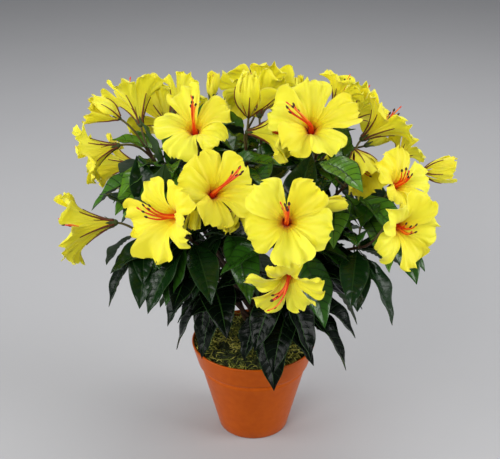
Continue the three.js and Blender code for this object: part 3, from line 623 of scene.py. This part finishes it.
leaves, small_leaves, twig_leaves = Heap(), Heap(), Heap()
for seed, (name, heading, reach, height, lean, *rest) in enumerate(SPRAYS + SKIRTS, 1):
    hangs = name.startswith("skirt")
    picks = rest[-1]
    first, span = rest[-3:-1] if hangs else (0, 360)
    length = LEAF_LENGTH * (SKIRT_LENGTH if hangs else 1)
    droop = LEAF_DROOP * (SKIRT_DROOP if hangs else 1)
    opening = SKIRT_OPEN if hangs else LEAF_OPEN
    tip = place(heading, reach, height)
    axis = towards(heading, lean)
    for i, pick in enumerate(picks):
        if pick is None:
            continue
        size = length * lerp(0.84, 1.12, chance(seed, i))
        bend = droop * lerp(0.75, 1.25, chance(seed, i + 40))
        base = first + span * (i + 0.5) / len(picks) + lerp(-9, 9, chance(seed, i + 80))
        lift, turn = divmod(pick, len(TURNS))
        leaving = off_axis(axis, base + TURNS[turn], opening + LIFTS[lift])
        width = LEAF_WIDTH * size / LEAF_LENGTH
        add_leaf(leaves, tip - axis * (4 + 3 * i), leaving, size, width, bend, leaf_tone_and_shade(height, reach))
    # Smaller leaves among the twigs, each on the side with the most room
    high = ramp(height, 200, 280)
    for i in range(2 if hangs else 3 + int(3 * high)):
        root = tip - axis * (1.5 + 3.4 * i)
        size = rng.uniform(*SMALL_LEAF["length"]) + EXTRA_LENGTH * high
        tries = [off_axis(axis, rng.uniform(0, 360), rng.uniform(48, 84)) for _ in range(16)]
        leaving = max(tries, key=lambda one: room(root, one, size, SMALL_LEAF["usual"]))
        add_if_room(small_leaves, SMALL_LEAF, root, leaving, size, height, reach)
    # The moss shows below the front skirt, which has no finer twigs for it
    if name == "skirt_front":
        continue
    # Finer twigs, each with leaves at its end. Those of a skirt rise to the crown's underside.
    for i in range(2 if hangs else 1 + int(2 * high)):
        root = tip - axis * (3 + 6 * i)
        tries = [off_axis(axis, rng.uniform(0, 360), rng.uniform(25, 75)) for _ in range(14)]
        leaving = max(tries, key=lambda one: room(root, one, 70, 0.3) + RISING * one[2])
        far = rng.uniform(14, 26) + (RISE if hangs else 0)
        leaving = unit(leaving + UP * 1.6) if hangs else leaving
        line = bow(root, leaving, root + leaving * far, unit(leaving + UP * 0.3), count=TWIG_POINTS)
        tube(trim, line, np.linspace(1.1, 0.8, TWIG_POINTS), 6, GREEN)
        side, over = square_to(leaving)
        first_turn = rng.uniform(0, TAU)
        for k in range(3):
            size = rng.uniform(*TWIG_LEAF["length"]) + (EXTRA_LENGTH if hangs else 0)
            spread = spoke(side, over, first_turn + k * TAU / 3)
            way = unit(leaving + spread * rng.uniform(0.6, 1.3))
            add_if_room(twig_leaves, TWIG_LEAF, line[-1 - k], way, size, height, reach)


# The blooms

# A petal's half width in millimetres at shares of its length
PETAL_OUTLINE = [
    (0, 1.9), (0.12, 2.8), (0.25, 4.7), (0.38, 7.4), (0.5, 10.8), (0.62, 14.6), (0.74, 17.6),
    (0.84, 18.2), (0.92, 15.6), (0.97, 12), (1, 8),
]
# The steps in which a petal's middle line is worked out, and how far round the bloom's axis a petal
# reaches to each side, in degrees
FINE = 60
PETAL_REACH = 39
# How much the petals of each kind ruffle, how far their lean varies, and the rows and columns of each
HABITS = {
    "open": (1.0, 13, 28, 25), "trumpet": (1.0, 12, 25, 21), "half": (0.7, 10, 22, 19),
    "closed": (0.8, 13, 22, 17), "finger": (0.4, 9, 14, 9),
}
# How much further the one loose petal of a closed bloom leans out, in degrees
LOOSE_PETAL = 78
# A bud's girth as shares of its radius, along shares of its length
BUD_OUTLINE = [(0, 0.42), (0.15, 0.66), (0.38, 0.97), (0.6, 0.92), (0.78, 0.7), (0.92, 0.36), (1, 0.06)]
BUD_SIDES = 24
# The radii along the stamens' column, an anther and the calyx's cup, and the heights of that cup's rings
COLUMN_RADII = np.array([3.2, 3.1, 2.9, 2.6, 2.2, 1.6, 0.6])
ANTHER_RADII = np.array([0.5, 1.05, 1.3, 1.25, 0.95, 0.3])
CUP_RADII = np.array([1.3, 2.7, 3.3, 3.4, 3.0])
CUP_HEIGHTS = np.array([-2.8, -1.4, 0.2, 1.8, 3.4])


def petal_line(kind, size, more_lean, stretch):
    """Radius, height and lean of a petal's middle line at even shares of its length."""
    root, rim = KINDS[kind]
    part = (np.arange(FINE) + 0.5) / FINE
    lean = np.radians(lerp(root, rim + more_lean, ramp(part, 0, 1)))
    step = PETAL_LENGTH * size * stretch / FINE
    radius = PETAL_ROOT * size + np.concatenate([[0], np.cumsum(np.sin(lean) * step)])
    height = np.concatenate([[0], np.cumsum(np.cos(lean) * step)])
    return np.maximum(radius, 0.8 * size), height, np.interp(np.linspace(0, 1, FINE + 1), part, lean)


def petal_end(habit, c):
    """Where a petal's wavy end lies, as a share of its length, at shares c of its half width."""
    phase = habit["phase"]
    crenate = np.cos(7.5 * c + phase) + 0.7 * np.cos(14 * c + 2 * phase) + 0.25 * np.cos(23 * c + 5 * phase)
    notch = habit["notch"] * np.exp(-((c - habit["notch_at"]) / 0.24) ** 2)
    return 1 + habit["scallop"] * crenate - 0.06 * c * c - notch


def ruffled(rise, kind, size, half, habit, s, c):
    """A petal's rise towards its inner side, with its ruffles, hollow, creases and turned end added."""
    phase = habit["phase"]
    # The ruffles run round the edge and fade towards the throat
    edge = np.sqrt(c * c + (np.maximum(s - 0.55, 0) / 0.45) ** 2)
    round_ = np.arctan2(c, 1.25 * (s - 0.45) + 0.35)
    swell = (np.sin(3.4 * round_ + phase) + 0.8 * np.sin(6.2 * round_ + 2 * phase + 1)
             + 0.55 * np.sin(11 * round_ + 3 * phase) + 0.3 * np.sin(19 * round_ + 4 * phase))
    soft = HABITS[kind][0] * size
    rise = rise + 2.7 * soft * swell * np.clip(edge, 0, 1.25) ** 2.4 * ramp(s, 0.35, 0.8)
    rise = rise - 1.8 * soft * (1 - c * c) * np.sin(np.pi * np.clip(s, 0, 1)) ** 2
    # One side lies over the next petal
    rise = rise + (1.2 * size + habit["roll"] * half) * c * ramp(s, 0.15, 0.8)
    # The creases run along the petal, the deepest down its middle
    rise = rise + 0.34 * size * np.cos(c * np.pi * 6) * ramp(s, 0.15, 0.4) * (1 - 0.6 * ramp(s, 0.8, 1))
    rise = rise - 1.2 * size * np.exp(-(c / 0.12) ** 2) * ramp(s, 0.1, 0.35) * (1 - ramp(s, 0.8, 1))
    return rise - habit["recurve"] * size * ramp(s, 0.72, 1.05) ** 2


def petal_points(kind, size, calyx, axis, outwards, habit, s, c):
    """Points of a petal's surface at shares s of its length and c of its half width, and the direction
    that its inner side looks to. habit holds what makes this petal its own."""
    radius, height, lean = habit["line"]
    across = np.cross(outwards, axis)
    phase = habit["phase"]
    s = s * (1 + (petal_end(habit, c) - 1) * ramp(s, 0.5, 1))
    shares = np.linspace(0, 1, FINE + 1)
    over = np.maximum(s - 1, 0) * PETAL_LENGTH * size
    r = np.interp(s, shares, radius) + over * np.sin(lean[-1])
    z = np.interp(s, shares, height) + over * np.cos(lean[-1])
    tilt = np.interp(s, shares, lean)
    wide = smooth_through(PETAL_OUTLINE, s) * size * habit["wide"]
    wave = np.sin(22 * s + phase + 2 * c) + 0.4 * np.sin(43 * s + 3 * phase - 2 * c)
    wide = wide * (1 + 0.028 * wave * ramp(s, 0.45, 0.65))
    half = np.minimum(wide, r * math.radians(PETAL_REACH) + 0.6 * size)
    # The petal's width is bent round the bloom's axis
    arc = c * half
    curl = arc * np.cos(tilt) / r
    curl = np.where(np.abs(curl) < 1e-4, 1e-4, curl)
    reach = arc * np.sin(curl) / curl
    rise = ruffled(arc * (1 - np.cos(curl)) / curl, kind, size, half, habit, s, c)
    inner = -outwards * np.cos(tilt)[..., None] + axis * np.sin(tilt)[..., None]
    point = calyx + outwards * r[..., None] + axis * z[..., None]
    return point + across * reach[..., None] + inner * rise[..., None], inner


def bloom_frame(bloom):
    """A bloom's axis, two directions square to it, and the point of its calyx."""
    face, tilt, size = bloom[4], bloom[5], bloom[6]
    axis = towards(face, tilt)
    side, over = square_to(axis)
    calyx = place(*bloom[1:4]) - axis * THROAT_DEPTH * size
    return axis, side, over, calyx


def add_petal(petals, trim, bloom, kind, size, number, wide=1.0):
    """One petal, thin and two-sided, with the brown wires on its back."""
    axis, side, over, calyx = bloom_frame(bloom)
    angle = math.radians(72 * number + bloom[7] + bloom_rng.uniform(-6, 6))
    outwards = spoke(side, over, angle)
    _, spread, row_count, col_count = HABITS[kind]
    loose = LOOSE_PETAL if kind == "closed" and number == 2 else 0
    more_lean = bloom_rng.uniform(-spread, spread) + loose
    habit = {
        "line": petal_line(kind, size, more_lean, bloom_rng.uniform(0.88, 1.04)),
        "phase": bloom_rng.uniform(0, TAU),
        "wide": wide * bloom_rng.uniform(0.92, 1.08) * (1.14 if kind == "trumpet" else 1),
        "scallop": bloom_rng.uniform(0.012, 0.024),
        "notch": bloom_rng.uniform(0, 0.07),
        "notch_at": bloom_rng.uniform(-0.35, 0.35),
        "roll": bloom_rng.uniform(-0.3, 0.3),
        "recurve": bloom_rng.uniform(-1, 7) if kind in ("open", "trumpet") else 0,
    }
    rows = np.linspace(0, 1, row_count) ** 0.92
    s, c = np.meshgrid(rows, np.linspace(-1, 1, col_count), indexing="ij")
    grid, _ = petal_points(kind, size, calyx, axis, outwards, habit, s, c)
    middle = (rows[:-1] + rows[1:]) / 2
    own = bloom_rng.choice(OUTER_TONES)
    tone = np.digitize(middle, [0.11, 0.17, 0.24, 0.32])
    bands = np.ones(col_count - 1, int)
    front = np.where(tone == 4, own, tone)[:, None] * bands
    back = np.where(middle < 0.1, BASE_TONE, own)[:, None] * bands
    shell(petals, grid, 0.5, front, back)
    if kind == "finger":
        return
    # The brown wire on the back, from the calyx to past the middle, and two short ones beside it
    wires = [(0.0, bloom_rng.uniform(0.56, 0.7), 1.15)]
    if kind == "open" or (number % 2 and kind != "closed"):
        wires += [(-0.55, 0.36, 0.7), (0.55, 0.36, 0.7)]
    for at, far, girth in wires:
        s = np.linspace(0.02, far, 14)
        c = at * ramp(s, 0, 0.4) * (0.5 + s)
        line, inner = petal_points(kind, size, calyx, axis, outwards, habit, s, c)
        radii = np.linspace(girth, 0.35 * girth, len(s)) * math.sqrt(size)
        tube(trim, line - inner * 0.6, radii, 6, WIRE)


def add_stamens(trim, bloom):
    """A red column that parts into curved filaments with dark anthers, and one longer style."""
    kind, size, right, up = bloom[0], bloom[6], bloom[8], bloom[9]
    axis, side, over, calyx = bloom_frame(bloom)
    sweep = np.array([right, 0.0, up])
    if kind != "open":
        sweep = sweep + axis * 4
    column = calyx + np.outer(np.linspace(1, 17, len(COLUMN_RADII)), axis) * size
    tube(trim, column, COLUMN_RADII * size, 9, FILAMENT)
    for k in range(6):
        is_style = k == 0
        spread = spoke(side, over, TAU * k / 6)
        start = calyx + (axis * 10 + spread * 1.3) * size
        far = 34 if is_style else 24 + 2.4 * ((k * 2) % 5)
        jitter = bloom_rng.normal(0, 1.4, 3) + spread * (0.5 if is_style else 3.2)
        end = calyx + axis * far * size + (sweep * (1.0 if is_style else 0.78) + jitter) * size
        arriving = unit(unit(sweep + axis * 3) * 0.9 + axis * 0.1 + UP * 0.3 + spread * 0.35)
        line = bow(start, axis, end, arriving, pull=0.42, count=12)
        tube(trim, line, np.linspace(1.05, 0.6, len(line)) * size, 6, FILAMENT if k % 3 else PALE)
        tip = line[-1] + np.outer(np.linspace(-1.9, 2.0, len(ANTHER_RADII)), arriving) * size
        girth = ANTHER_RADII * size * (0.75 if is_style else 1)
        tube(trim, tip, girth, 6, FILAMENT if is_style else ANTHER, 0.75)


def add_calyx(trim, bloom, length):
    """A small green-brown cup with five pointed sepals that lie on the petals' backs."""
    size = bloom[6]
    axis, side, over, calyx = bloom_frame(bloom)
    tube(trim, calyx + np.outer(CUP_HEIGHTS, axis) * size, CUP_RADII * size, 12, SEPAL)
    s = np.linspace(0, 1, 8)[:, None, None]
    c = np.linspace(-1, 1, 5)[None, :, None]
    wide = 1.9 * size * (1 - s ** 1.6) ** 0.8 + 0.05
    out = (3.1 + 1.4 * s + 2.6 * s ** 3 - 0.5 * c * c) * size
    for k in range(5):
        outwards = spoke(side, over, math.radians(72 * k + bloom[7] + 36))
        across = np.cross(outwards, axis)
        grid = calyx + axis * (0.4 + length * s) * size + outwards * out - across * wide * c
        shell(trim, grid, 0.4, SEPAL, SEPAL)


def add_bud(petals, trim, bloom):
    """A pointed bud of petals wound round each other, with a few petals that have come loose."""
    size = bloom[6]
    axis, _, _, calyx = bloom_frame(bloom)
    s = np.linspace(0, 1, 22)
    girth = smooth_through(BUD_OUTLINE, s) * BUD_RADIUS * size
    wound = (full_turn(BUD_SIDES)[None] * 5 / TAU + 0.9 * s[:, None]) % 1
    girth = girth[:, None] * (1 + 0.2 * (wound - 0.5) * ramp(s, 0.05, 0.3)[:, None])
    outer = np.where(s[:-1] > 0.9, BUD_TIP, bloom_rng.choice(OUTER_TONES))
    tone = np.where(s[:-1] < 0.12, BASE_TONE, outer)
    tube(petals, calyx + np.outer(s * BUD_LENGTH * size, axis), girth, BUD_SIDES, tone)
    for number in range(4):
        add_petal(petals, trim, bloom, "finger", size * 0.6, number, 0.62)
    add_calyx(trim, bloom, 9)


blossom = {"left": Heap(), "right": Heap()}


def flank(spray):
    """The side of the plant that a spray stands on."""
    return "left" if place(*spray[1:4])[0] < 0 else "right"


# Each twig is brown at its root and green beyond, and a little thicker at the bloom
along = np.linspace(0, 1, 22)
twig_tones = np.where(along[:-1] < 0.3, BROWN, GREEN)
twig_radii = lerp(1.3, 1.05, along) + 0.25 * ramp(along, 0.86, 1)
for spray in SPRAYS:
    _, heading, reach, height, lean, blooms, _ = spray
    petals = blossom[flank(spray)]
    axis = towards(heading, lean)
    tip = place(heading, reach, height)
    for i, bloom in enumerate(blooms):
        kind, size = bloom[0], bloom[6]
        facing, _, _, calyx = bloom_frame(bloom)
        start = tip + axis * (TWIG_CLEAR + TWIG_SPACING * i)
        leaving = unit(axis + facing * TWIG_TURN)
        line = bow(start, leaving, calyx + facing * TWIG_SUNK, facing, TWIG_PULL, len(along))
        tube(trim, line, twig_radii, 8, twig_tones)
        if kind == "bud":
            add_bud(petals, trim, bloom)
            continue
        for number in range(5):
            add_petal(petals, trim, bloom, kind, size, number)
        if kind != "closed":
            add_stamens(trim, bloom)
        add_calyx(trim, bloom, 8 if kind in ("open", "trumpet") else 10)


# The pot, and the moss in it

def wall_radius(height):
    """The radius of the pot's tapered outside at a height."""
    return lerp(POT_FOOT, POT_RIM, height / POT_TOP)


shoulder = POT_TOP - COLLAR
# The wall below the collar is set back, and most of all in the groove just under it
groove = wall_radius(shoulder) - STEP - 0.9
# Radii and heights from the middle of the underside, over the rim, to the bottom of the inside
profile = [
    (0, 0), (20, 0), (33.6, 0), (34.8, 0.15), (35.7, 0.6), (wall_radius(1.6), 1.6),
    (wall_radius(12) - 0.3, 12), (wall_radius(40) - 1.0, 40), (wall_radius(70) - 1.7, 70),
    (wall_radius(shoulder) - STEP - 0.1, shoulder - 1.9), (groove, shoulder - 1.5), (groove, shoulder),
    (wall_radius(shoulder) - 0.4, shoulder), (wall_radius(shoulder) - 0.12, shoulder + 0.12),
    (wall_radius(shoulder + 0.5), shoulder + 0.5), (wall_radius(shoulder + 1.5), shoulder + 1.5),
    (wall_radius(90), 90), (wall_radius(99), 99), (wall_radius(100.6), 100.6), (64.5, 101.5),
    (64.0, 101.9), (63.4, 102), (62.9, 101.8), (62.6, 101.2), (wall_radius(96) - WALL, 96),
    (wall_radius(88) - WALL, 88), (wall_radius(80) - WALL, 80), (0, 79),
]
turn = full_turn(160)
rings = np.array([[(r * math.cos(a), r * math.sin(a), z) for a in turn] for r, z in profile[1:-1]])
pot = Heap()
skin(pot, rings, (0, 0, 0), (0, 0, profile[-1][1]), 0)

# The bed's tone, near-black as painted shade in the gaps between the curls, then those of the curls
MOSS_TONES = [(30, 37, 10), (76, 86, 20), (112, 120, 38), (162, 158, 62), (46, 56, 13), (192, 184, 86)]
MOSS_RADIUS, MOSS_FOOT, MOSS_LIMIT = 59.5, 57, 61.3
BED_SIDES, BED_ROWS = 72, 20
TUFTS, CURLS = 150, 18
CURL_RADII = 0.62 * np.array([0.5, 1, 1, 1, 1, 0.8, 0.3])


def dome(share):
    """The height of the moss at a share of the way from its edge to its middle."""
    return lerp(MOSS_EDGE, MOSS_CROWN, math.sin(share * math.pi / 2))


def circle(radius, turn, heights):
    """A ring of points with one height, or one for each."""
    heights = np.broadcast_to(heights, turn.shape)
    return np.stack([radius * np.cos(turn), radius * np.sin(turn), heights], -1)


# A lumpy bed under the tufts, which hides the filling
moss = Heap()
turn = full_turn(BED_SIDES)
bed = [circle(MOSS_FOOT, turn, FILLING_TOP + 1)]
for k in range(BED_ROWS):
    share = k / BED_ROWS
    r = MOSS_RADIUS * (1 - share)
    lumps = 1.6 * np.sin(r / 5 + 3 * turn) * np.sin(7 * turn + r / 7) + bloom_rng.normal(0, 0.6, BED_SIDES)
    bed.append(circle(r, turn, dome(share) - 1.5 + lumps))
skin(moss, np.array(bed), (0, 0, FILLING_TOP + 1), (0, 0, MOSS_CROWN - 1), 0)

# Tufts of curled threads, each mostly of one tone, kept inside the pot's rim
for _ in range(TUFTS):
    share = math.sqrt(bloom_rng.uniform(0.01, 0.97))
    turn = bloom_rng.uniform(0, TAU)
    middle = np.array([share * MOSS_RADIUS * math.cos(turn), share * MOSS_RADIUS * math.sin(turn),
                       dome(1 - share) - 2])
    spread = bloom_rng.uniform(2.5, 6)
    lift = bloom_rng.uniform(0, 3)
    tone = bloom_rng.integers(1, len(MOSS_TONES))
    for _ in range(CURLS):
        heading = bloom_rng.uniform(0, TAU)
        length = bloom_rng.uniform(6, 15)
        angles = heading + bloom_rng.uniform(-4, 4) * np.linspace(0, 1, 7)
        rise = bloom_rng.uniform(0.1, 0.9) * np.cos(np.linspace(0, 2.8, 7))
        line = np.cumsum(np.stack([np.cos(angles), np.sin(angles), rise], -1) * length / 7, axis=0)
        shift = [bloom_rng.normal(0, spread), bloom_rng.normal(0, spread), bloom_rng.uniform(0, lift)]
        line += middle + shift
        out = np.hypot(line[:, 0], line[:, 1])
        line[:, :2] *= np.minimum(1, MOSS_LIMIT / np.maximum(out, 1e-6))[:, None]
        slot = tone if bloom_rng.uniform() < 0.6 else bloom_rng.integers(1, len(MOSS_TONES))
        tube(moss, line, CURL_RADII, 3, slot, 0.6)

# The bed's near-black finish is painted shade in the gaps between the curls
moss_finishes = [finish("moss_bed_shade", MOSS_TONES[0], 0.95, 700, 1.0, 0.001)]
for i, tone in enumerate(MOSS_TONES[1:]):
    moss_finishes.append(finish(f"moss_{i}", tone, 0.9, 900, 0.6))
plastic = finish("terracotta_plastic", (171, 73, 1), 0.34, 900, 0.16, 0.0002, 0.05, (178, 79, 3),
                 **{"Specular IOR Level": 0.15})
bark = finish("bark_coated_wire", (58, 36, 20), 0.6, 500, 0.8, 0.0006, 0.1, (84, 56, 32))
weight = finish("filling_weight", (143, 138, 128), 0.95, 500, 0.8, 0.001, 0.04, (120, 116, 108))

spray_names = [s[0] for s in SPRAYS]
skirt_names = [s[0] for s in SKIRTS]
pot.make("pot_shell", [plastic], "pot_plastic", ["pot"])
moss.make("moss_curls", moss_finishes, "moss", ["moss"])
limbs.make("limbs", [bark], "stem", ["main_stem"] + ["bough_" + n for n in spray_names])
small_leaves.make("small_leaves", leaf_finishes, "leaves")
twig_leaves.make("twig_leaves", leaf_finishes, "leaves")
leaves.make("foliage", leaf_finishes, "leaves", ["leaves_" + n for n in spray_names + skirt_names])
for side, heap in blossom.items():
    replaced = ["blooms_" + s[0] for s in SPRAYS if flank(s) == side]
    heap.make("blossom_" + side, petal_finishes, "petals", replaced)
trim.make("twigs_and_stamens", trim_finishes, "stem")
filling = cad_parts["filling"]
filling.data.materials.clear()
filling.data.materials.append(weight)


# The floor, the lights and the camera

floor_mesh = bpy.data.meshes.new("floor")
floor_mesh.from_pydata([(-8, -8, 0), (8, -8, 0), (8, 8, 0), (-8, 8, 0)], [], [(0, 1, 2, 3)])
floor = bpy.data.objects.new("floor", floor_mesh)
bpy.context.scene.collection.objects.link(floor)
floor_mesh.materials.append(finish("pale_floor", (178, 178, 180), 0.8, 40, 0.05, 0.0002))

world = bpy.data.worlds.new("studio")
bpy.context.scene.world = world
world.use_nodes = True
world.node_tree.nodes["Background"].inputs["Color"].default_value = (0.78, 0.8, 0.84, 1)
world.node_tree.nodes["Background"].inputs["Strength"].default_value = 0.26


def add_light(name, location, target, size, energy, colour=(1, 1, 1)):
    data = bpy.data.lights.new(name, "AREA")
    data.shape = "SQUARE"
    data.size = size
    data.energy = energy
    data.color = colour
    made = bpy.data.objects.new(name, data)
    bpy.context.scene.collection.objects.link(made)
    made.location = location
    made.rotation_euler = (Vector(target) - Vector(location)).to_track_quat("-Z", "Y").to_euler()


add_light("key", (-0.7, -1.6, 1.3), (0, 0, 0.25), 0.9, 20, (1, 0.985, 0.96))
add_light("fill", (1.7, -0.5, 0.8), (0, 0, 0.2), 1.1, 26)
add_light("left", (-1.7, -0.5, 0.8), (0, 0, 0.25), 1.1, 20)
add_light("top", (0.1, 0.9, 1.6), (0, 0, 0.28), 1.0, 14)

# The camera stands where the photograph's own perspective puts it, and looks down by this many degrees
LOOKS_DOWN = 24.4
camera_data = bpy.data.cameras.new("camera")
camera_data.sensor_width = 36
camera_data.lens = 79.2
camera = bpy.data.objects.new("camera", camera_data)
bpy.context.scene.collection.objects.link(camera)
camera.location = (-0.0037, -1.0056, 0.6835)
camera.rotation_euler = (math.radians(90 - LOOKS_DOWN), 0, 0)
bpy.context.scene.camera = camera
bpy.context.scene.view_settings.view_transform = "Standard"
